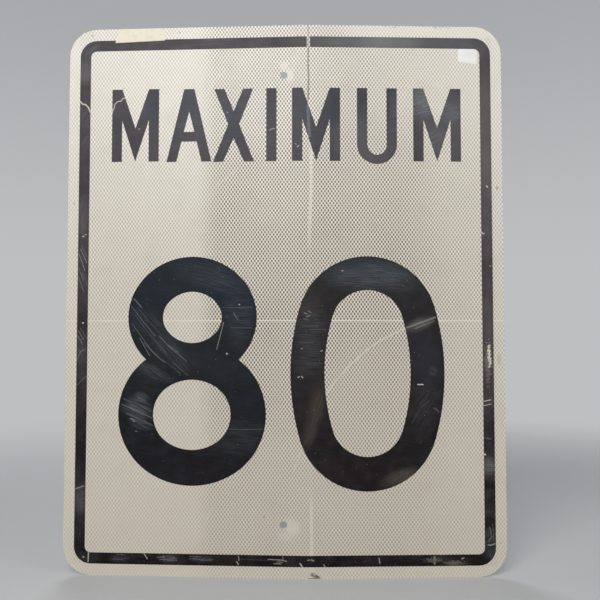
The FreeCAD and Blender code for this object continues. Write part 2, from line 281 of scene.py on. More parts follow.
# %% Scratches
class ScratchedFinish(Finish):
    """A finish that can carry marks along a line."""

    def __init__(self, name, raggedness=0.5):
        super().__init__(name)
        inputs = {"Vector": self.place, "Scale": 0.9, "Detail": 2.0}
        wander = self.node("ShaderNodeTexNoise", inputs=inputs, output="Color")
        level = self.vector("SUBTRACT", wander, (0.5, 0.5, 0.5))
        self.ragged = self.vector("MULTIPLY_ADD", level, (4 * raggedness,) * 3, self.place)

    def line_gap(self, start, end, place=None):
        """Distance in millimetres to the straight line between two places on the face."""
        run = Vector((end[0] - start[0], 0, end[1] - start[1]))
        from_start = self.vector("SUBTRACT", place or self.ragged, (start[0], 0, start[1]))
        backwards = tuple(-run / run.length_squared)
        share = self.vector("DOT_PRODUCT", from_start, backwards, output="Value")
        share = self.node("ShaderNodeClamp", inputs={"Value": share, "Min": -1.0, "Max": 0.0})
        inputs = {0: tuple(run), "Scale": share}
        nearest = self.node("ShaderNodeVectorMath", {"operation": "SCALE"}, inputs)
        return self.vector("LENGTH", self.vector("ADD", from_start, nearest), output="Value")

    def scratch(self, width, strength, *points):
        """A mark along a run of straight stretches."""
        gap = None
        for start, end in zip(points, points[1:]):
            stretch = self.line_gap(start, end)
            gap = stretch if gap is None else self.math("MINIMUM", gap, stretch)
        return self.fade(gap, width * 0.75, width * 0.25, 0, strength)

    def most(self, masks):
        """The strongest of several masks. Each may also come from a generator, in turn."""
        strongest = None
        for mask in masks:
            strongest = mask if strongest is None else self.math("MAXIMUM", strongest, mask)
        return strongest


print("marks along a line:", ", ".join(name for name in vars(ScratchedFinish) if name[0] != "_"))

# %% [markdown]
# Other wear has an area. A rub mark is a soft oval, a flaked place is the same oval with a
# ragged edge, and fine brushing is noise stretched along one direction. A Mapping node of
# the Texture kind turns and shrinks the face until the oval is a circle of radius 1, so
# that one distance does for every size and turn.

# %% Rub marks, flaked places and brushing
class WornFinish(ScratchedFinish):
    """A finish that can carry every kind of wear on this sign."""

    def from_centre(self, centre, radii, turn):
        """Distance from the centre of an oval, counted so that its rim is at 1.

        Its turn is in degrees, anticlockwise as seen from the front.
        """
        inputs = {
            "Vector": self.place,
            "Location": (centre[0], 0, centre[1]),
            "Rotation": (0, -math.radians(turn), 0),
            "Scale": (radii[0], 1, radii[1]),
        }
        inside = self.node("ShaderNodeMapping", {"vector_type": "TEXTURE"}, inputs)
        return self.vector("LENGTH", inside, output="Value")

    def rub(self, centre, radii, turn=0.0, strength=1.0):
        """A soft oval mark."""
        return self.fade(self.from_centre(centre, radii, turn), 1, 0.25, 0, strength)

    def flaked(self, centre, radii, turn=0.0, grain=0.3, strength=1.0):
        """A ragged patch: noise, cut off at a level that is easier to reach near its centre."""
        level = self.from_centre(centre, radii, turn) * 0.32
        rough = self.noise(self.place, grain, 5, 0.65) - level
        return self.fade(rough, 0.29, 0.36, 0, strength)

    def brushing(self, direction, spacing, length, low=0.45, high=0.75):
        """Fine parallel marks: noise stretched along a direction given in degrees."""
        angle = math.radians(direction)
        along = self.across * math.cos(angle) + self.up * math.sin(angle)
        aside = self.up * math.cos(angle) - self.across * math.sin(angle)
        inputs = {"X": along * (1 / length), "Y": aside * (1 / spacing)}
        place = self.node("ShaderNodeCombineXYZ", inputs=inputs)
        return self.fade(self.noise(place, 1, 4, 0.6), low, high)


print("wear with an area:", ", ".join(name for name in vars(WornFinish) if name[0] != "_"))

# %% [markdown]
# The white sheeting is moulded with rows of tiny prisms. Between the cells lie small dark
# points in staggered rows. They could be drawn with a Voronoi or a Checker texture, but the
# product of two cosines gives exactly such a staggered lattice, and a soft step turns it
# into points. They stand out more where the light strikes at a flat angle, from about 100 mm
# left of the middle onwards, and they fade towards the edges.

# %% The lattice of dark points
POINT_SPACING = 4.66
ROW_SPACING = 3.28
CLARITY = [
    # direction, where a change starts and ends, clarity before and after it
    ("across", -122, -90, 0.48, 0.97),
    ("across", 130, 270, 1, 0.6),
    ("up", 20, -330, 1, 0.58),
    ("up", 120, 330, 1, 0.8),
    ("across", -284, -288, 1, 0.62),
    ("across", 284, 288, 1, 0.7),
    ("up", -358, -362, 1, 0.5),
]


def lattice_points(film):
    across = film.math("COSINE", film.across * (2 * math.pi / POINT_SPACING))
    up = film.math("COSINE", film.up * (math.pi / ROW_SPACING))
    return film.fade(across * up, -0.3, 0.5)


def lattice_clarity(film):
    """How clearly the points stand out, from 0 to 1."""
    upper_right = film.fade(film.up, 120, 300) * film.fade(film.across, 60, 200)
    # The points are fainter in the top margin right of the middle: painted sheen, where the film
    # faces the mirror direction of the lamp.
    upper_margin_sheen = film.fade(film.up, 358, 362) * film.fade(film.across, 60, 110)
    clarity = (0.94 - upper_right * 0.22) * (1 - upper_margin_sheen * 0.5)
    for direction, *limits in CLARITY:
        clarity = clarity * film.fade(getattr(film, direction), *limits)
    return clarity


print(f"points every {POINT_SPACING} mm, in rows {ROW_SPACING} mm apart")

# %% [markdown]
# Some places have lost the pattern and show plain film: a narrow stripe along the bend,
# where the sheet was creased, rings round the two holes, where washers pressed on it, and a
# few long scratches. They are gathered into one mask, which later takes the points away.

# %% Where the sheeting is rubbed bare
RUBBED_BARE = [
    # centre, radii, turn, strength
    ((0, 318), (9, 9), 0, 0.65),
    ((8, 305), (8, 13), 0, 0.8),
    ((11, -308), (15, 18), 40, 0.75),
    ((2, -320), (14, 9), 0, 0.5),
    ((211, 293), (8, 4.5), -20, 0.8),
    ((172, 291), (3, 3), 0, 0.8),
]
SCRATCHED_BARE = [
    # width, strength, points
    (2.1, 0.8, (56, -132), (71, -112), (89, -92), (109, -74), (131, -58), (164, -42)),
    (2.4, 0.45, (13, -235), (19, -219), (28, -198)),
    (2, 0.6, (-270, 258), (-255, 256), (-239, 258)),
    (2.5, 0.35, (-104, 286), (-96, 301), (-82, 312)),
    (2.5, 0.3, (-118, 120), (-96, 150), (-62, 178)),
    (2.4, 0.4, (-96, -282), (-104, -300)),
]


def bare_places(film):
    middle, lean = 35.3, -0.0062
    stripe = film.math("MULTIPLY_ADD", film.up, lean, middle)
    stripe = stripe + film.fade(film.up, 75, 165, 0, 3)
    from_bend = film.math("ABSOLUTE", film.across - stripe)
    stripe_width = film.fade(from_bend, 2.9, 1.2)
    stripe_above = film.fade(film.up, 55, 110) * film.fade(film.up, 225, 190)
    stripe_below = film.fade(film.up, -255, -290)
    stripe = stripe_width * (stripe_above * 0.68 + stripe_below * 0.75 + 0.1)
    rubs = film.most(film.rub(*mark) for mark in RUBBED_BARE)
    scratches = film.most(film.scratch(*mark) for mark in SCRATCHED_BARE)
    return film.most([stripe, rubs, scratches])


print(f"bare: one stripe, {len(RUBBED_BARE)} rubs, {len(SCRATCHED_BARE)} scratches")

# %% [markdown]
# Dirt has gathered in the crack that opened along the bend, in small nicks, and along the
# upper cut edge, where the film has worn through. The chip in the lower edge is broken up
# with brushing, because a smooth dark oval there would look like paint.

# %% Cracks, nicks and the worn edge
CRACK = [(33.4, 375), (33.4, 343), (33.2, 318), (33.8, 298), (33.2, 272)]
SPECKS = [
    # centre, radii, turn, strength
    ((-26.1, -294.7), (1.5, 1.1), 0, 1),
    ((-209.2, -326.8), (1.2, 1), 0, 0.8),
    ((-291.5, 130.4), (0.9, 4), 0, 0.6),
    ((290, -330.3), (3.5, 0.7), 0, 0.5),
    ((-268.5, 366.5), (2, 1.3), 0, 0.7),
    ((-145.5, 368.5), (1.6, 2.2), 20, 0.6),
    ((-223, 291), (1.3, 1.6), 30, 0.4),
    ((-283.5, -167), (5, 5), 0, 0.12),
    ((291.5, -84), (4, 12), 0, 0.22),
    ((291.5, 150.1), (2.6, 3.4), 0, 0.5),
    ((33.5, 350), (7, 12), 0, 0.22),
]


def dirt(film):
    crack = film.scratch(2.3, 0.75, *CRACK[1:])
    margin_crack = film.scratch(1.8, 0.55, *CRACK[:2])
    specks = film.most(film.rub(*speck) for speck in SPECKS)
    edge_wear = film.fade(film.up, 371.2, 373.6) * film.brushing(0, 2, 5, 0.5, 0.62)
    first_run = film.fade(film.across, 136, 140, 0, 0.6) * film.fade(film.across, 160, 154)
    second_run = film.fade(film.across, 202, 207) * film.fade(film.across, 232, 227)
    edge_wear = edge_wear * (first_run + second_run)
    chip = film.scratch(5, 1, (38.5, -369.5), (46, -373.5))
    chip = chip * film.brushing(-30, 1.2, 6, 0.35, 0.6)
    chip_edge = film.scratch(1.6, 0.8, (34.5, -374.5), (49, -374.5))
    return film.most([crack, margin_crack, specks, edge_wear * 0.7, chip, chip_edge])


print(f"dirt: a crack {CRACK[0][1] - CRACK[-1][1]} mm long, {len(SPECKS)} specks, worn edges")

# %% [markdown]
# Now the layers of the sheeting are stacked as they are on the real sign: an ivory film that is a
# little darker and warmer low down, which is painted shade for light falling from above, grime in
# soft clouds, the bare places, the dark points, and the dirt on top. One thin level line, where two
# webs of the film meet, has no points either. The points also feed a bump of about a hundredth of a
# millimetre, and the roughness wanders a little, as a weathered gloss does.

# %% The white sheeting
SHEETING_IVORY = tone(230, 225, 214)
SHEETING_SHADED_LOW = tone(216, 209, 194)
DARK_POINT = tone(66, 50, 36)
GRIME = tone(176, 164, 142)
BARE_FILM = tone(212, 208, 196)
DIRT = tone(74, 66, 56)
SEAM_HEIGHT = -31.9


def white_sheeting():
    film = WornFinish("white_sheeting", raggedness=1.2)
    points = lattice_points(film)
    clarity = lattice_clarity(film)
    bare = bare_places(film)
    seam = film.fade(film.math("ABSOLUTE", film.up - SEAM_HEIGHT), 1.25, 0.45, 0, 0.9)
    patchy = film.fade(film.noise(film.place, 0.012), 0.25, 0.75, 0.93, 1.06)
    shade = points * clarity * patchy * (1 - bare) * (1 - seam)

    # Painted shade: the ivory gets darker and warmer towards the bottom, as if the light fell from
    # above.
    shade_top_to_bottom = film.fade(film.up, TOP, BOTTOM)
    ivory = film.mix(shade_top_to_bottom, SHEETING_IVORY, SHEETING_SHADED_LOW)
    grime = film.fade(film.noise(film.place, 0.03, 4), 0.5, 0.8, 0, 0.12)
    ivory = film.mix(grime, ivory, GRIME)
    ivory = film.mix(bare * 0.7, ivory, BARE_FILM)
    colour = film.mix(shade, ivory, DARK_POINT)
    colour = film.mix(dirt(film), colour, DIRT)

    relief = film.bump(points, 0.12)
    roughness = film.fade(film.noise(film.place, 0.05), 0.3, 0.7, 0.34, 0.42)
    return film.surface(
        Base_Color=colour,
        Roughness=roughness,
        Specular_IOR_Level=0.4,
        Normal=relief,
    )


def finish_node(name, finish):
    """Gives a solid piece from the model its material."""
    nodes[name].data.materials[0] = finish
    print(f"{name}: {finish.name}, {len(finish.node_tree.nodes)} shader nodes")


finish_node("reflective_sheeting", white_sheeting())

# %% [markdown]
# The black is a printed film. Its colour runs from a bluish grey near the top to nearly black lower
# down: painted sheen, standing for the reflection of light from above in the glossy film. A
# ColorRamp over the height gives that, and two sizes of noise let darker and paler clouds drift
# over it, fewer at the bottom, so that no part of it is one flat colour.

# %% Black, with painted sheen towards the top
def black_with_painted_sheen(film, sheen_tones, clouds, stains):
    """The colour of the film before it was scuffed, with its painted sheen, and the drift of its
    clouds.
    """
    height = TOP - BOTTOM
    stops = [((up - BOTTOM) / height, tone(*colour)) for up, colour in sheen_tones]
    share = film.math("MULTIPLY_ADD", film.up, 1 / height, -BOTTOM / height)
    colour = film.node("ShaderNodeValToRGB", {"stops": stops}, {"Fac": share}, "Color")
    drift = film.noise(film.place, 0.02, 4)
    mottle = film.noise(film.place, 0.06, 4, 0.6)
    faded = film.fade(film.up, -380, -300, 0.35, 1)
    colour = film.mix(film.fade(drift, 0.4, 0.7, 0, 0.6) * faded, colour, tone(*clouds[0]))
    colour = film.mix(film.fade(mottle, 0.42, 0.72, 0, 0.35) * faded, colour, tone(*clouds[1]))
    # Each patch is a stain or painted sheen: a paler or bluer place painted where the glossy film
    # would reflect light.
    for centre, radii, turn, strength, stain in stains:
        patch = film.rub(centre, radii, turn, strength)
        patch = patch * film.fade(drift, 0.2, 0.6, 0.6, 1)
        colour = film.mix(patch, colour, tone(*stain))
    return colour, drift


print(f"the ramp of blacks runs over {TOP - BOTTOM:.0f} mm")

# %% [markdown]
# The film is scuffed all over in fine parallel lines, in a few directions, and more
# strongly where something rubbed along it. A few knocks have broken it through to the white
# below. Every black piece has its own marks, so one function makes the film and takes the
# tones and the marks of the piece it is for. Scuffed places are also rougher, and pits the
# size of a grain of sand are scattered by a Voronoi texture.

# %% The black film
FLAKED = tone(206, 198, 184)
RUBBED = tone(132, 136, 141)
FINE_SCUFFS = [
    # direction, spacing, length, where the mask begins and ends, strength
    (-10, 0.8, 60, 0.5, 0.85, 0.09),
    (-48, 0.7, 35, 0.55, 0.9, 0.07),
    (70, 0.7, 25, 0.55, 0.9, 0.05),
]


def black_film(name, sheen_tones, clouds, stains, rubs, streaks, scratches, flakes=()):
    """A material for one black piece.

    Sheen tones run from the bottom of the sign to its top, as pairs of height and colour: the black
    of the film with painted sheen, paler towards the top. Clouds are the dark and the light colour
    that drift over them. Stains are (centre, radii, turn, strength, colour), and hold both real
    stains and patches of painted sheen. Rubs are (centre, radii, turn, direction of the brushing,
    strength). Streaks and scratches are (width, strength, points): a streak only dulls the film, a
    scratch goes through it. Flakes are (centre, radii, turn, grain, strength, colour).
    """
    film = WornFinish(name, raggedness=0.35)
    colour, drift = black_with_painted_sheen(film, sheen_tones, clouds, stains)
    haze = 0
    for *scuff, strength in FINE_SCUFFS:
        haze = haze + film.brushing(*scuff) * strength
    for centre, radii, turn, direction, strength in rubs:
        lines = film.brushing(direction, 0.8, 34, 0.4, 0.72)
        haze = haze + film.rub(centre, radii, turn, strength) * lines
    colour = film.mix(film.math("MINIMUM", haze, 1), colour, RUBBED)

    inputs = {"Vector": film.place, "Scale": 0.12}
    pits = film.node("ShaderNodeTexVoronoi", inputs=inputs, output="Distance")
    colour = film.mix(film.fade(pits, 0.07, 0.03, 0, 0.35), colour, FLAKED)
    for marks, beneath in ((streaks, RUBBED), (scratches, FLAKED)):
        colour = film.mix(film.most(film.scratch(*mark) for mark in marks), colour, beneath)
    for centre, radii, turn, grain, strength, beneath in flakes:
        patch = film.flaked(centre, radii, turn, grain, strength)
        colour = film.mix(patch, colour, tone(*beneath))

    roughness = film.math("ADD", film.fade(drift, 0.3, 0.7, 0.36, 0.46), haze * 0.3, clamp=True)
    relief = film.bump(film.noise(film.place, 0.4, 2), 0.1)
    return film.surface(
        Base_Color=colour,
        Roughness=roughness,
        Specular_IOR_Level=0.16,
        Normal=relief,
    )


print(f"scuffed in {len(FINE_SCUFFS)} directions, besides the marks of each piece")

# %% [markdown]
# The border took the knocks, because it lies nearest to the edge. On the right the film has
# flaked off in one long patch and shows the cream sheeting, with a grey rim where it is only
# half worn through. Small white scratches are scattered over the lower run, each with its
# own points, so that none of them repeats.

# %% Flakes and scratches on the border
CREAM, OLIVE, GREY, VIOLET = (214, 206, 188), (98, 98, 84), (138, 138, 138), (52, 46, 60)
band_flakes = [
    ((278.5, -80), (4.4, 27), 3, 0.28, 1, CREAM),
    ((275.5, -90), (6, 44), 2, 0.3, 0.35, GREY),
    ((201.5, -352), (3, 9), 0, 0.45, 0.8, (140, 142, 128)),
    ((200, -352), (20, 5), 0, 0.5, 0.8, OLIVE),
    ((228, -356), (22, 5), 0, 0.6, 0.8, (104, 104, 90)),
    ((38, -350.6), (6, 1.6), 0, 0.5, 0.5, (118, 116, 106)),
    ((-4, -353.8), (8, 2), 0, 0.6, 0.4, (150, 148, 138)),
    ((-272, -351.5), (1.9, 1.5), 0, 0.6, 1, (196, 172, 144)),
    ((3, 352), (14, 7), 0, 0.25, 0.45, (46, 48, 56)),
]
CRACK_ACROSS_BORDER = [
    (-284.6, 273.6), (-281.2, 269.8), (-277.1, 269.3), (-273.4, 265.3), (-270.4, 258.8),
]
band_scratches = [
    (1.7, 1, *CRACK_ACROSS_BORDER),
    (1.6, 0.9, (-278.4, 84.6), (-277.4, 84.8)),
    (1.3, 0.8, (-274.9, 87.1), (-274, 87)),
    (1.8, 1, (-277, -34.8), (-276.4, -34.8)),
    (2, 0.9, (277.3, 152.6), (278.3, 151.4)),
    (1.3, 0.7, (280.5, 42.9), (281, 42.3)),
    (1.6, 0.8, (269.5, 89.5), (271.5, 87), (273, 87.2)),
    (2, 1, (269.8, -212.4), (271.4, -212.4)),
    (1.5, 0.7, (-264.7, -344.6), (-265.2, -357.7)),
    (1, 0.8, (-189, -344.9), (-186.8, -348), (-184, -352.4)),
    (1, 0.5, (-60.4, -347.1), (-59.7, -352.5)),
    (1.2, 0.8, (-62.8, -354), (-60.3, -357.8)),
    (0.9, 0.65, (-20.6, -350.3), (-1.9, -351), (4.1, -352.6)),
    (0.9, 0.4, (-1.2, -345.7), (-0.5, -351.6)),
    (1.4, 0.35, (-12.6, -355.8), (-3.2, -356)),
    (1.4, 0.9, (21.9, -354.9), (25, -359.4)),
    (1, 0.7, (32.1, -350.9), (36.8, -350.1), (40.1, -351.9)),
    (1.1, 0.6, (53.5, -356.6), (55.5, -359.9)),
    (1.2, 0.6, (127.1, -348.7), (128.2, -355.6)),
    (1.8, 0.5, (238, -350.8), (240.5, -349.6)),
    (1.2, 0.55, (273.3, -332.8), (278, -332.9), (282.4, -331.2)),
    (1.2, 0.85, (269.9, -141.1), (279.3, -139.1)),
    (1.1, 0.65, (269.9, -146.9), (280.1, -144.7)),
]
print(f"border: {len(band_flakes)} flaked places, {len(band_scratches)} scratches")

# %% [markdown]
# A streak is a scratch that only dulls the film. The left side has many of them, in bundles that
# slant the same way, as when the sign was dragged past something. Rub marks add broader brushing
# with a direction of its own, and patches shift the colour: paler at the top right and up the right
# side, which is painted sheen, browner beside the long flake, darker at the lower left.

# %% Streaks, rub marks, stains and painted sheen on the border
band_streaks = [
    (1, 0.9, (-281.5, 67.1), (-277, 58.5), (-272.4, 48)),
    (1, 0.8, (-283.8, 60.8), (-279.5, 50.2), (-275, 36.9)),
    (0.8, 0.5, (-280.5, 72), (-272, 56)),
    (0.9, 0.6, (-284, 42), (-277, 24)),
    (0.9, 0.5, (-284.5, 30), (-276, 8)),
    (0.8, 0.4, (-279, 34), (-271, 16)),
    (0.9, 0.7, (-283.5, -45), (-275, -58)),
    (0.9, 0.7, (-284, -52), (-277, -64)),
    (0.8, 0.5, (-280, -42), (-271.5, -56)),
    (1.2, 0.5, (-284, -84), (-279, -74), (-274, -71)),
    (1, 0.35, (-284, -120), (-272, -108)),
    (1.4, 0.9, (-283.8, -260.2), (-272.1, -256)),
    (1, 0.15, (-56.6, -350.9), (-20, -351.6)),
    (1.1, 0.45, (275.5, -309), (277.4, -315), (277.9, -321.6), (275, -328)),
    (1, 0.3, (279.5, -305), (281.4, -316), (280.5, -328)),
    (1.1, 0.3, (-225.6, -347), (-215.3, -347.6)),
    (1.4, 0.25, (-230.8, -353.3), (-217.9, -354)),
    (1.3, 0.5, (-170.8, -350.3), (-160.5, -349.2)),
    (1.1, 0.45, (-166.9, -353), (-144.1, -351.8)),
    (1.2, 0.35, (-161.8, -347.2), (-160.5, -354.6)),
    (1.1, 0.4, (-158, -348.3), (-146.5, -349.5)),
    (1.1, 0.35, (-154.3, -350.8), (-146.5, -351.3)),
    (1.3, 0.35, (-156.7, -354), (-144, -354.3)),
    (1.1, 0.35, (-126.3, -351.5), (-116.3, -350.1)),
    (1.1, 0.35, (-121.3, -352.7), (-106.1, -351.1)),
    (1.3, 0.35, (-111.1, -353.2), (-96, -352.3)),
    (1.2, 0.3, (-126.3, -347.8), (-111.1, -348.3)),
    (1.6, 0.3, (271, -190), (279, -192)),
]
band_rubs = [
    ((-278, 56), (12, 70), 0, -62, 0.25),
    ((-278, -75), (12, 30), 0, -58, 0.28),
    ((-278, -276), (12, 26), 0, 14, 0.42),
    ((-270, 345), (24, 20), 0, 40, 0.4),
    ((-278, 240), (12, 60), 0, 60, 0.3),
    ((-278, 120), (12, 40), 0, 80, 0.35),
    ((278, 120), (12, 110), 0, 66, 0.3),
    ((278, -10), (12, 60), 0, 84, 0.28),
    ((276, -170), (12, 60), 0, -76, 0.08),
    ((276, -228), (12, 16), 0, 0, 0.9),
    ((280, -335), (16, 28), 20, 48, 0.4),
    ((130, 354), (90, 14), 0, 25, 0.3),
    ((-130, 354), (130, 14), 0, 4, 0.25),
    ((-155, -351), (18, 8), 0, 3, 0.3),
    ((-110, -351), (22, 7), 0, 4, 0.28),
    ((-222, -352), (18, 6), 0, 3, 0.3),
]
# Stains and painted sheen: the pale grey patches along the top and up the right side are painted
# sheen, and the others shift the colour of the film in patches.
band_stains_and_sheen = [
    ((105, 352), (100, 30), 0, 0.34, GREY),
    ((150, 352), (60, 30), 0, 0.34, GREY),
    ((235, 352), (80, 40), 0, 0.26, GREY),
    ((278, 236), (44, 124), 0, 0.26, (142, 134, 134)),
    ((278, 130), (44, 120), 0, 0.08, GREY),
    ((278, -80), (30, 110), 0, 0.3, (104, 96, 88)),
    ((277, -228), (30, 22), 0, 0.3, (112, 104, 104)),
    ((-278, 190), (24, 50), 0, 0.3, VIOLET),
    ((-278, 110), (24, 40), 0, 0.25, (96, 90, 94)),
    ((-278, -34), (30, 36), 0, 0.55, (38, 32, 38)),
    ((-278, 38), (26, 26), 0, 0.6, (46, 41, 44)),
    ((-278, 314), (20, 24), 0, 0.3, (130, 125, 128)),
    ((-278, -190), (30, 60), 0, 0.4, (20, 13, 20)),
    ((-278, -320), (30, 40), 0, 0.3, (24, 17, 22)),
    ((-278, -270), (30, 34), 0, 0.24, (86, 78, 82)),
    ((-150, -352), (22, 9), 0, 0.35, (56, 54, 42)),
    ((-110, -352), (22, 9), 0, 0.25, (54, 52, 46)),
    ((-262, -351), (16, 9), 0, 0.3, (50, 52, 46)),
]
# Painted sheen: the black is nearly black at the bottom and a paler grey higher up, where the
# glossy film reflects the light from above.
band_sheen_tones = [
    (-375, (12, 6, 8)),
    (-330, (20, 13, 16)),
    (-190, (28, 19, 26)),
    (-120, (38, 29, 35)),
    (-70, (56, 46, 51)),
    (100, (62, 53, 57)),
    (375, (58, 53, 57)),
]
band_clouds = [(48, 39, 45), (84, 78, 84)]
band_marks = [band_stains_and_sheen, band_rubs, band_streaks, band_scratches, band_flakes]
finish_node("border_band", black_film("black_border", band_sheen_tones, band_clouds, *band_marks))

# %% [markdown]
# The numeral 8 is the blackest piece. Its cool shine over the upper ring is painted sheen: bluish
# patches in its colour that stand for reflections of the sky. Long fine streaks cross its left
# side, and a broad scuff of close parallel lines covers its lower left. The streaks are drawn one
# by one. The scuff is a rub mark with brushing, which gives dozens of lines for the price of one.

# %% The numeral 8, its wear and its painted sheen
eight_scratches = [
    (0.8, 0.45, (-82.1, -34.3), (-86.5, -52), (-91.3, -70.9)),
    (1.4, 0.8, (-61, -10.1), (-60.2, -10.1)),
    (1.8, 0.85, (-77.6, -76.6), (-76.8, -76.9)),
    (1.1, 0.3, (-202, -181.9), (-199.5, -182.3)),
    (1.8, 0.25, (-209, -165), (-206, -165.6), (-204, -169)),
]
eight_streaks = [
    (1.3, 0.5, (-205.5, -1.9), (-194.8, -14)),
    (0.9, 0.45, (-209.1, -12.4), (-193.7, -31.9), (-176.1, -52.8)),
    (1, 0.35, (-208.1, -36.4), (-195.7, -52.8), (-182, -70.7), (-166.8, -85.4)),
    (1.1, 0.5, (-197.2, -55.8), (-183.4, -79.6)),
    (1.1, 0.4, (-191.2, -61.8), (-176.5, -77.6), (-163, -88.4)),
    (0.8, 0.25, (-204, -24), (-184, -50), (-160, -76.5)),
    (0.8, 0.2, (-200, -14), (-184, -34), (-168, -50.5)),
    (1, 0.45, (-170.1, -52.8), (-154.8, -69.1), (-132.1, -86.9)),
    (1.1, 0.35, (-157.8, -64.6), (-144.3, -75.1)),
    (0.9, 0.3, (-151.7, -88.4), (-130.5, -106.1)),
    (0.8, 0.25, (-166, -84), (-140, -104)),
    (0.9, 0.6, (-68.4, -21.4), (-62.4, -30.5)),
    (1, 0.2, (-84.4, -14), (-42, -14.1)),
    (1, 0.2, (-71.9, -41.7), (-43.2, -41.7)),
    (1, 0.22, (-73.9, -178.2), (-50, -178.6), (-29.2, -177.8)),
    (1.2, 0.4, (-221, -145.9), (-200, -154), (-179.6, -164.2)),
    (1, 0.3, (-219, -138), (-198, -147), (-181, -155)),
    (1.1, 0.35, (-214, -158), (-196, -166), (-178, -174)),
]
eight_rubs = [
    ((-178, -44), (66, 30), -44, -50, 0.14),
    ((-150, -78), (44, 18), -44, -48, 0.16),
    ((-176, -102), (34, 11), -28, -34, 0.38),
    ((-200, -152), (28, 20), -20, -24, 0.7),
    ((-194, -135), (15, 8), -20, -25, 0.5),
    ((-196, -172), (22, 9), -20, -22, 0.55),
    ((-96, 26), (70, 24), -14, -15, 0.2),
    ((-62, -28), (30, 50), 0, -4, 0.2),
    ((-60, -190), (60, 30), 10, -4, 0.15),
]
# Stains and painted sheen: the bluish patches are painted reflections of the sky, and the grey ones
# shift the colour of the film.
eight_stains_and_sheen = [
    ((-80, 0), (74, 56), -30, 0.55, (18, 32, 48)),
    ((-180, -6), (50, 50), 0, 0.4, (22, 30, 42)),
    ((-110, -90), (80, 30), -20, 0.4, (34, 38, 42)),
    ((-190, -100), (30, 14), -30, 0.3, (50, 52, 54)),
    ((-50, -160), (34, 60), 0, 0.35, (24, 30, 42)),
]
# The black of the numeral with painted sheen, bluer towards its top.
eight_sheen_tones = [
    (-260, (23, 18, 21)),
    (-170, (12, 11, 15)),
    (-90, (22, 26, 30)),
    (10, (12, 19, 27)),
    (60, (20, 30, 40)),
]
eight_clouds = [(18, 22, 28), (38, 46, 54)]
eight_marks = [eight_stains_and_sheen, eight_rubs, eight_streaks, eight_scratches]
finish_node("numeral_eight", black_film("black_eight", eight_sheen_tones, eight_clouds, *eight_marks))

# %% [markdown]
# The numeral 0 is a little browner. A grey haze over its top, a bluish patch down its right side
# and olive patches low on its left and at its lower right are painted sheen. A wide scratch from
# the sheeting runs on over its right side, where it is only a faint smear, and one small chip shows
# the white below it.

# %% The numeral 0, its wear and its painted sheen
zero_scratches = [
    (1.2, 0.6, (78.6, 35.8), (80.2, 35.6)),
    (1.2, 0.35, (23.5, -70), (25.5, -69.4)),
    (1.3, 0.5, (50, -73), (52, -72.6)),
    (1.5, 0.75, (19.3, -108.3), (20.8, -107.6)),
    (1.5, 0.75, (24, -107.2), (25.4, -108.6)),
    (1.4, 0.95, (180.6, -118.2), (187.8, -118.2)),
    (2.6, 0.22, (166.9, -41.4), (186, -34.4), (204.5, -27.6)),
    (2, 0.13, (178, -42.5), (190, -37.5), (203.5, -32.5)),
]
zero_streaks = [
    (1.6, 0.6, (28, -21.6), (31, -22.8)),
    (1.6, 0.6, (31, -26.4), (35.4, -25)),
    (1.4, 0.5, (33, -19), (37, -21)),
    (1.4, 0.3, (27, -29), (33, -31)),
    (1, 0.25, (24.7, -39.3), (30, -39), (46.3, -39.6)),
    (1, 0.15, (36, -44.4), (56, -44)),
    (1, 0.15, (21, -62), (40, -61.4)),
    (1, 0.15, (30, -90), (53, -89.4)),
    (1.3, 0.36, (202.1, -149.8), (205.5, -151.6), (208.6, -155.2)),
    (1.6, 0.1, (172, -170), (186, -148), (196, -140)),
]
zero_rubs = [
    ((112, 28), (74, 28), 0, -4, 0.36),
    ((160, 26), (40, 30), -20, -12, 0.2),
    ((35, -40), (28, 50), 0, 2, 0.25),
    ((35, -84), (28, 34), 0, -2, 0.2),
    ((46, -150), (12, 36), -12, 72, 0.18),
    ((34, -186), (12, 26), -20, 58, 0.16),
    ((156, -243), (38, 14), 20, 25, 0.25),
    ((186, -35), (26, 12), 19, 18, 0.45),
    ((202, -100), (9, 9), 0, -30, 0.35),
    ((190, -150), (26, 54), -10, 58, 0.13),
]
# Stains and painted sheen: the grey-blue patches at the top and on the right and the olive ones low
# down stand for sheen on the glossy film.
zero_stains_and_sheen = [
    ((112, 34), (84, 30), 0, 0.5, (44, 55, 62)),
    ((190, -85), (30, 60), 0, 0.35, (42, 46, 58)),
    ((36, -10), (26, 26), 0, 0.4, (54, 44, 44)),
    ((40, -160), (15, 62), -12, 0.48, (70, 60, 48)),
    ((156, -242), (36, 14), 20, 0.6, (68, 62, 48)),
    ((60, -228), (30, 20), -40, 0.3, (42, 34, 30)),
    ((180, -39), (30, 12), 19, 0.5, (80, 76, 68)),
]
# The black of the numeral with painted sheen, greyer and bluer towards its top.
zero_sheen_tones = [
    (-265, (22, 15, 17)),
    (-190, (22, 17, 20)),
    (-100, (34, 30, 32)),
    (-20, (32, 29, 31)),
    (60, (32, 36, 40)),
]
zero_clouds = [(26, 22, 22), (50, 46, 48)]
zero_marks = [zero_stains_and_sheen, zero_rubs, zero_streaks, zero_scratches]
finish_node("numeral_zero", black_film("black_zero", zero_sheen_tones, zero_clouds, *zero_marks))

# %% [markdown]
# The word is printed in the same black film, in plain upright capitals with one stroke
# width. All of its letters are the same left and right, so each is drawn as its left half,
# with a few corners, and mirrored. A text object could do it too, but a typeface would not
# have these proportions, and letters cut as meshes can be carried over the bend.

# %% The straight letters
CAP_HEIGHT = 101.4
STROKE = 14.2
ARC_STEPS = 12


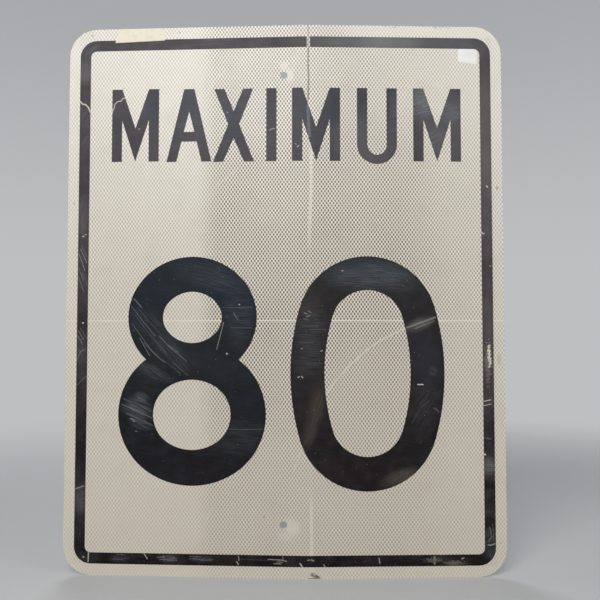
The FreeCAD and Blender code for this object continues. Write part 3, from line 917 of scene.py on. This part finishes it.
def mirrored(flat):
    """Both halves of a flat letter, from its left half."""
    whole = flat.verts[:] + flat.edges[:] + flat.faces[:]
    bmesh.ops.mirror(flat, geom=whole, matrix=Matrix.Identity(4), merge_dist=0.01, axis="X")
    return flat


def from_corners(corners):
    """A flat letter from the corners of its left half, in order round the outline."""
    flat = bmesh.new()
    flat.faces.new([flat.verts.new((across, 0, up)) for across, up in corners])
    return mirrored(flat)


def letter_m():
    half = 65.8 / 2
    inner = half - STROKE
    return from_corners([
        (0, 0), (-inner, CAP_HEIGHT * 0.57), (-inner, 0), (-half, 0),
        (-half, CAP_HEIGHT), (-inner, CAP_HEIGHT), (0, CAP_HEIGHT * 0.46),
    ])


def letter_a():
    half, apex, inner_foot = 62.4 / 2, 7.1, 17.5
    bar_low, bar_high, eye = 28, 41.5, 70
    return from_corners([
        (0, CAP_HEIGHT), (-apex, CAP_HEIGHT), (-half, 0), (-inner_foot, 0), (-10.5, bar_low),
        (0, bar_low), (0, bar_high), (-7.3, bar_high), (0, eye),
    ])


def letter_x():
    return from_corners([
        (0, 70.5), (-13, CAP_HEIGHT), (-26.9, CAP_HEIGHT), (-7.6, 52),
        (-28.4, 0), (-14.4, 0), (0, 33),
    ])


def letter_i():
    half = STROKE / 2
    return from_corners([(0, 0), (-half, 0), (-half, CAP_HEIGHT), (0, CAP_HEIGHT)])


print(f"capitals {CAP_HEIGHT} mm high, with strokes {STROKE} mm wide")

# %% [markdown]
# The letter U is the only round one. Its left stem is a plain rectangle, and the lower edge
# of that is spun through a quarter turn about the middle of the bowl, then both are
# mirrored. On the real letter the stroke is a little thinner at the bottom than at the
# sides, so the inner arc is pulled down by a tenth.

# %% The letter U
def letter_u():
    half, bowl_centre, inner_sink = 54.9 / 2, 23.6, 1.11
    inner = half - STROKE
    flat = bmesh.new()
    stem = [(-half, CAP_HEIGHT), (-half, bowl_centre), (-inner, bowl_centre), (-inner, CAP_HEIGHT)]
    corners = [flat.verts.new((across, 0, up)) for across, up in stem]
    flat.faces.new(corners)
    end = [flat.edges.get((corners[1], corners[2])), corners[1], corners[2]]
    centre = Vector((0, 0, bowl_centre))
    quarter = {"axis": (0, 1, 0), "angle": -math.pi / 2, "steps": ARC_STEPS}
    bmesh.ops.spin(flat, geom=end, cent=centre, **quarter)
    for corner in flat.verts:
        if (corner.co - centre).length < inner + 1 and corner.co.z < bowl_centre:
            corner.co.z = bowl_centre + (corner.co.z - bowl_centre) * inner_sink
    return mirrored(flat)


print(f"each quarter of the letter U is spun in {ARC_STEPS} steps")

# %% [markdown]
# A flat letter becomes a thin piece of film in four steps: it is moved to its place, cut at
# four stations across the bend so that it has edges to fold at, extruded by the thickness
# of the film, and carried over the bend point by point. Its normals are recalculated at the
# end, because a mirrored half is inside out.

# %% From a flat letter to a piece of film
def mesh_from(name, shape):
    """A smooth mesh from a bmesh, with its faces turned outwards."""
    bmesh.ops.recalc_face_normals(shape, faces=shape.faces[:])
    mesh = bpy.data.meshes.new(name)
    shape.to_mesh(mesh)
    shape.free()
    mesh.shade_smooth()
    return mesh


def bent_letter(name, flat, middle, baseline, finish):
    """Extrudes a flat letter, cuts it at the bend and lays it on the panel."""
    bmesh.ops.translate(flat, verts=flat.verts[:], vec=(middle, -FILM_BACK, baseline))
    for step in range(4):
        station = Vector((BEND_START + BEND_LENGTH * step / 3, 0, 0))
        whole = flat.verts[:] + flat.edges[:] + flat.faces[:]
        bmesh.ops.bisect_plane(flat, geom=whole, plane_co=station, plane_no=(1, 0, 0))
    front = bmesh.ops.extrude_face_region(flat, geom=flat.faces[:])["geom"]
    raised = [part for part in front if isinstance(part, bmesh.types.BMVert)]
    bmesh.ops.translate(flat, verts=raised, vec=(0, FILM_BACK - FILM_FRONT, 0))
    for corner in flat.verts:
        corner.co = on_panel(corner.co.x, -corner.co.y, corner.co.z)
    finished_piece(name, flat, finish)


def finished_piece(name, shape, finish):
    """Turns a bmesh into a piece of the sign that moves with it."""
    mesh = mesh_from(name, shape)
    mesh.set_sharp_from_angle(angle=math.radians(30))
    mesh.materials.append(finish)
    piece = in_scene(name, mesh)
    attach(piece, "root")
    print(f"{name}: {len(mesh.vertices)} corners, {len(mesh.polygons)} faces")


print(f"the bend is {BEND_LENGTH:.1f} mm wide and starts at {BEND_START:.1f} mm")

# %% [markdown]
# The word is the palest black piece, a purplish grey: painted sheen, because it lies highest, where
# the glossy film reflects the light from above. Its strokes also carry painted reflections of the
# sky in blue clouds at the left, and painted sheen makes the letters on the right a little paler.
# The last letter is brushed pale at its top. One film serves all seven letters, because its marks
# are laid out over the whole face: each letter shows the part of them that it covers. The crack
# over the first letter is two runs of points.

# %% The wear and the painted sheen of the word
word_scratches = [
    (1.2, 0.95, (-239.5, 256), (-238.6, 260), (-236.6, 263.5), (-236, 268.2), (-232.2, 272.6)),
    (1.1, 0.95, (-232.2, 272.6), (-227, 273.2), (-224.6, 277), (-221, 277.6)),
    (1.1, 0.45, (-202.6, 233.8), (-200, 233.5)),
    (1.6, 0.35, (-19.5, 229), (-17, 231), (-12.8, 231.4)),
    (1.3, 0.4, (15.6, 210.2), (16.8, 208.5)),
    (1.3, 0.5, (18.2, 205.4), (20.6, 207.2)),
    (1.2, 0.5, (-78.8, 254.9), (-77.8, 254.1)),
]
word_streaks = [
    (4, 0.4, (32.6, 262), (33.6, 240), (34.9, 220.4)),
    (1.3, 0.5, (190, 262), (206, 266)),
    (1.2, 0.4, (184, 254), (204, 257)),
    (1.2, 0.4, (184, 268), (200, 272)),
]
word_rubs = [
    ((188, 268), (24, 34), 0, 12, 0.9),
    ((228, 254), (20, 20), 0, 10, 0.7),
    ((208, 219), (20, 20), 0, 34, 0.4),
    ((152, 240), (12, 60), 0, 0, 0.3),
    ((-60, 236), (180, 60), 0, 2, 0.15),
]
# Stains and painted sheen: the first one greys the top of the last letter, the blue patches at the
# left are painted reflections of the sky, and the grey ones on the right are painted sheen.
word_stains_and_sheen = [
    ((188, 278), (22, 26), 0, 0.4, (104, 106, 100)),
    ((222, 236), (60, 90), 0, 0.18, GREY),
    ((110, 210), (60, 60), 0, 0.18, GREY),
    ((-182, 262), (16, 36), 0, 0.6, (42, 54, 70)),
    ((-131, 268), (16, 30), 0, 0.6, (44, 54, 68)),
    ((-68, 240), (22, 46), 0, 0.5, (46, 54, 66)),
    ((34, 256), (26, 32), 0, 0.6, (46, 56, 68)),
    ((70, 256), (12, 34), 0, 0.6, (44, 54, 68)),
    ((152, 258), (12, 48), 0, 0.5, (60, 68, 84)),
]
# The purplish grey of the word is painted sheen over the black film.
word_sheen_tones = [
    (180, (64, 58, 64)),
    (290, (60, 57, 63)),
]
word_clouds = [(58, 56, 62), (76, 76, 84)]
word_marks = [word_stains_and_sheen, word_rubs, word_streaks, word_scratches]
word_film = black_film("black_word", word_sheen_tones, word_clouds, *word_marks)
print(f"{word_film.name}: {len(word_film.node_tree.nodes)} shader nodes")

# %% [markdown]
# Each letter is given by its middle and its baseline, in millimetres, because a sign maker
# spaces capitals by eye and not evenly.

# %% The word, letter by letter
LETTERS = [
    ("letter_m_first", letter_m, -206.35, 187.9),
    ("letter_a", letter_a, -131.25, 186.9),
    ("letter_x", letter_x, -69.4, 186.1),
    ("letter_i", letter_i, -17.3, 186.1),
    ("letter_m_second", letter_m, 43.9, 186.1),
    ("letter_u", letter_u, 127.4, 186.1),
    ("letter_m_third", letter_m, 210.3, 186.3),
]
for name, outline, middle, baseline in LETTERS:
    bent_letter(name, outline(), middle, baseline, word_film)

# %% [markdown]
# The back and the cut edges are bare aluminium. The mill rolls the sheet in one direction,
# which leaves fine lines, and years of weather dull it in faint clouds. Metallic close to 1,
# with the lines in roughness and in a very small bump, is what makes it read as metal.

# %% The aluminium
def rolled_aluminium():
    metal = WornFinish("rolled_aluminium")
    lines = metal.brushing(90, 0.35, 90, 0.3, 0.7)
    clouds = metal.noise(metal.place, 0.009, 5, 0.6)
    bright, dull = tone(204, 206, 208), tone(188, 190, 192)
    line_grey, scratch_grey = tone(150, 152, 155), tone(226, 227, 228)
    colour = metal.mix(metal.fade(clouds, 0.35, 0.7), bright, dull)
    colour = metal.mix(lines * 0.25, colour, line_grey)
    scratches = metal.brushing(32, 0.5, 60, 0.66, 0.72) * metal.fade(clouds, 0.5, 0.6)
    colour = metal.mix(scratches * 0.4, colour, scratch_grey)
    roughness = metal.fade(clouds, 0.3, 0.7, 0.38, 0.44) + lines * 0.06
    relief = metal.bump(lines, 0.15)
    return metal.surface(Base_Color=colour, Metallic=0.92, Roughness=roughness, Normal=relief)


finish_node("sign_blank", rolled_aluminium())

# %% [markdown]
# The two labels are paper. The tape is a cream crepe paper, creased across its length and
# a little dirty here and there. The small label is smooth and whiter. Both get a bump so
# faint that it only shows where the light grazes them.

# %% The tape and the small label
def crepe_tape():
    paper = WornFinish("cream_tape")
    creases = paper.brushing(90, 1.1, 30, 0.3, 0.7)
    stains = paper.fade(paper.noise(paper.place, 0.15, 4), 0.45, 0.8)
    cream, shadow, stain = tone(236, 230, 212), tone(216, 208, 187), tone(196, 183, 154)
    colour = paper.mix(creases * 0.35, cream, shadow)
    colour = paper.mix(stains * 0.35, colour, stain)
    relief = paper.bump(creases, 0.35, distance=0.0002)
    return paper.surface(Base_Color=colour, Roughness=0.75, Specular_IOR_Level=0.25, Normal=relief)


def small_label():
    paper = WornFinish("white_label")
    fibres = paper.noise(paper.place, 0.8, 5, 0.7)
    smudge = paper.rub((257, 338), (16, 9), 8, 0.3)
    white, shadow, grey = tone(238, 237, 236), tone(226, 225, 224), tone(216, 214, 211)
    colour = paper.mix(paper.fade(fibres, 0.3, 0.8), white, shadow)
    colour = paper.mix(smudge, colour, grey)
    relief = paper.bump(fibres, 0.2)
    return paper.surface(Base_Color=colour, Roughness=0.6, Specular_IOR_Level=0.3, Normal=relief)


finish_node("tape_strip", crepe_tape())
finish_node("paper_sticker", small_label())

# %% [markdown]
# The studio is one smooth bowl: a flat floor that curves up into a round wall, spun from a
# bent line. With no corner behind the sign there is no line behind it either, from any
# side. Far from the sign the bowl shows one plain grey of its own, to the camera and in
# reflections, and near the sign it is an ordinary floor that takes the shadow.

# %% The studio bowl
FLOOR_RADIUS = 3.2
COVE_RADIUS = 1.2
WALL_TOP = 4.5
FLOOR_GREY = tone(200, 201, 203)
WALL_LOW = tone(190, 191, 193)
WALL_HIGH = tone(166, 168, 171)


def studio_bowl():
    bench_height = solid_low.z
    shape = bmesh.new()
    centre = shape.verts.new((0, 0, bench_height))
    rim = shape.verts.new((FLOOR_RADIUS, 0, bench_height))
    shape.edges.new((centre, rim))
    bend_centre = (FLOOR_RADIUS, 0, bench_height + COVE_RADIUS)
    quarter = {"axis": (0, 1, 0), "angle": -math.pi / 2, "steps": ARC_STEPS}
    bmesh.ops.spin(shape, geom=[rim], cent=bend_centre, **quarter)
    top = max(shape.verts, key=lambda corner: corner.co.z)
    wall = shape.verts.new((top.co.x, 0, bench_height + WALL_TOP))
    shape.edges.new((top, wall))
    profile = shape.verts[:] + shape.edges[:]
    full_turn = {"axis": (0, 0, 1), "angle": 2 * math.pi, "steps": 64, "use_merge": True}
    bmesh.ops.spin(shape, geom=profile, cent=(0, 0, 0), **full_turn)
    bmesh.ops.remove_doubles(shape, verts=shape.verts[:], dist=0.0005)
    bowl = in_scene("studio_bowl", mesh_from("studio_bowl", shape))
    return bowl


def bowl_finish():
    paint = Finish("studio_paint")
    position = paint.node("ShaderNodeTexCoord", output="Object")
    radius = paint.vector("LENGTH", position, output="Value")
    seen = paint.node("ShaderNodeLightPath", output="Is Camera Ray")
    mirrored_in = paint.node("ShaderNodeLightPath", output="Is Glossy Ray")
    far = paint.fade(radius, 0.9, 2.2) * paint.math("MAXIMUM", seen, mirrored_in)
    height = paint.part_of(position, "Z")
    shaded = paint.mix(paint.fade(height, 0.2, 2.6), WALL_LOW, WALL_HIGH)
    near_shader = paint.node("ShaderNodeBsdfDiffuse", inputs={"Color": FLOOR_GREY})
    far_shader = paint.node("ShaderNodeEmission", inputs={"Color": shaded, "Strength": 1.0})
    both = paint.node("ShaderNodeMixShader", inputs={0: far, 1: near_shader, 2: far_shader})
    paint.node("ShaderNodeOutputMaterial", inputs={"Surface": both})
    return paint.material


bowl = studio_bowl()
bowl.data.materials.append(bowl_finish())
print(f"studio bowl: {len(bowl.data.polygons)} faces")

# %% [markdown]
# The light comes from one large soft lamp above and in front, which makes the top of the
# sign the brightest part, as on the real one. A weaker lamp at the right, one behind and a
# dim sky fill the shadows, so that the back and the edges can be seen too.

# %% The lamps
LAMPS = [
    # name, place, size, watts, colour, target
    ("key_lamp", (-0.3, -1.8, 1.15), 1.4, 34, (1, 0.99, 0.97), (0, 0, 0.1)),
    ("side_lamp", (1.9, -1.3, 0.8), 1.2, 10, (1, 1, 1), (0, 0, 0)),
    ("back_lamp", (-0.8, 2, 1.4), 1.4, 22, (1, 1, 1), (0, 0, 0)),
]
for name, place, size, watts, colour, target in LAMPS:
    light = bpy.data.lights.new(name, "AREA")
    light.shape = "DISK"
    light.size = size
    light.energy = watts
    light.color = colour
    aimed(name, light, place, target)
sky = bpy.data.worlds.new("sky")
sky.use_nodes = True
glow = sky.node_tree.nodes["Background"].inputs
glow["Color"].default_value = (0.80, 0.82, 0.86, 1.0)
glow["Strength"].default_value = 0.28
bpy.context.scene.world = sky
print("lamps:", ", ".join(light.name for light in bpy.data.lights))

# %% [markdown]
# Last, the size of the solid sign is printed. Nothing that was added may reach outside.

# %% Finish
print("solid size ", [round(value, 4) for value in solid_high - solid_low])
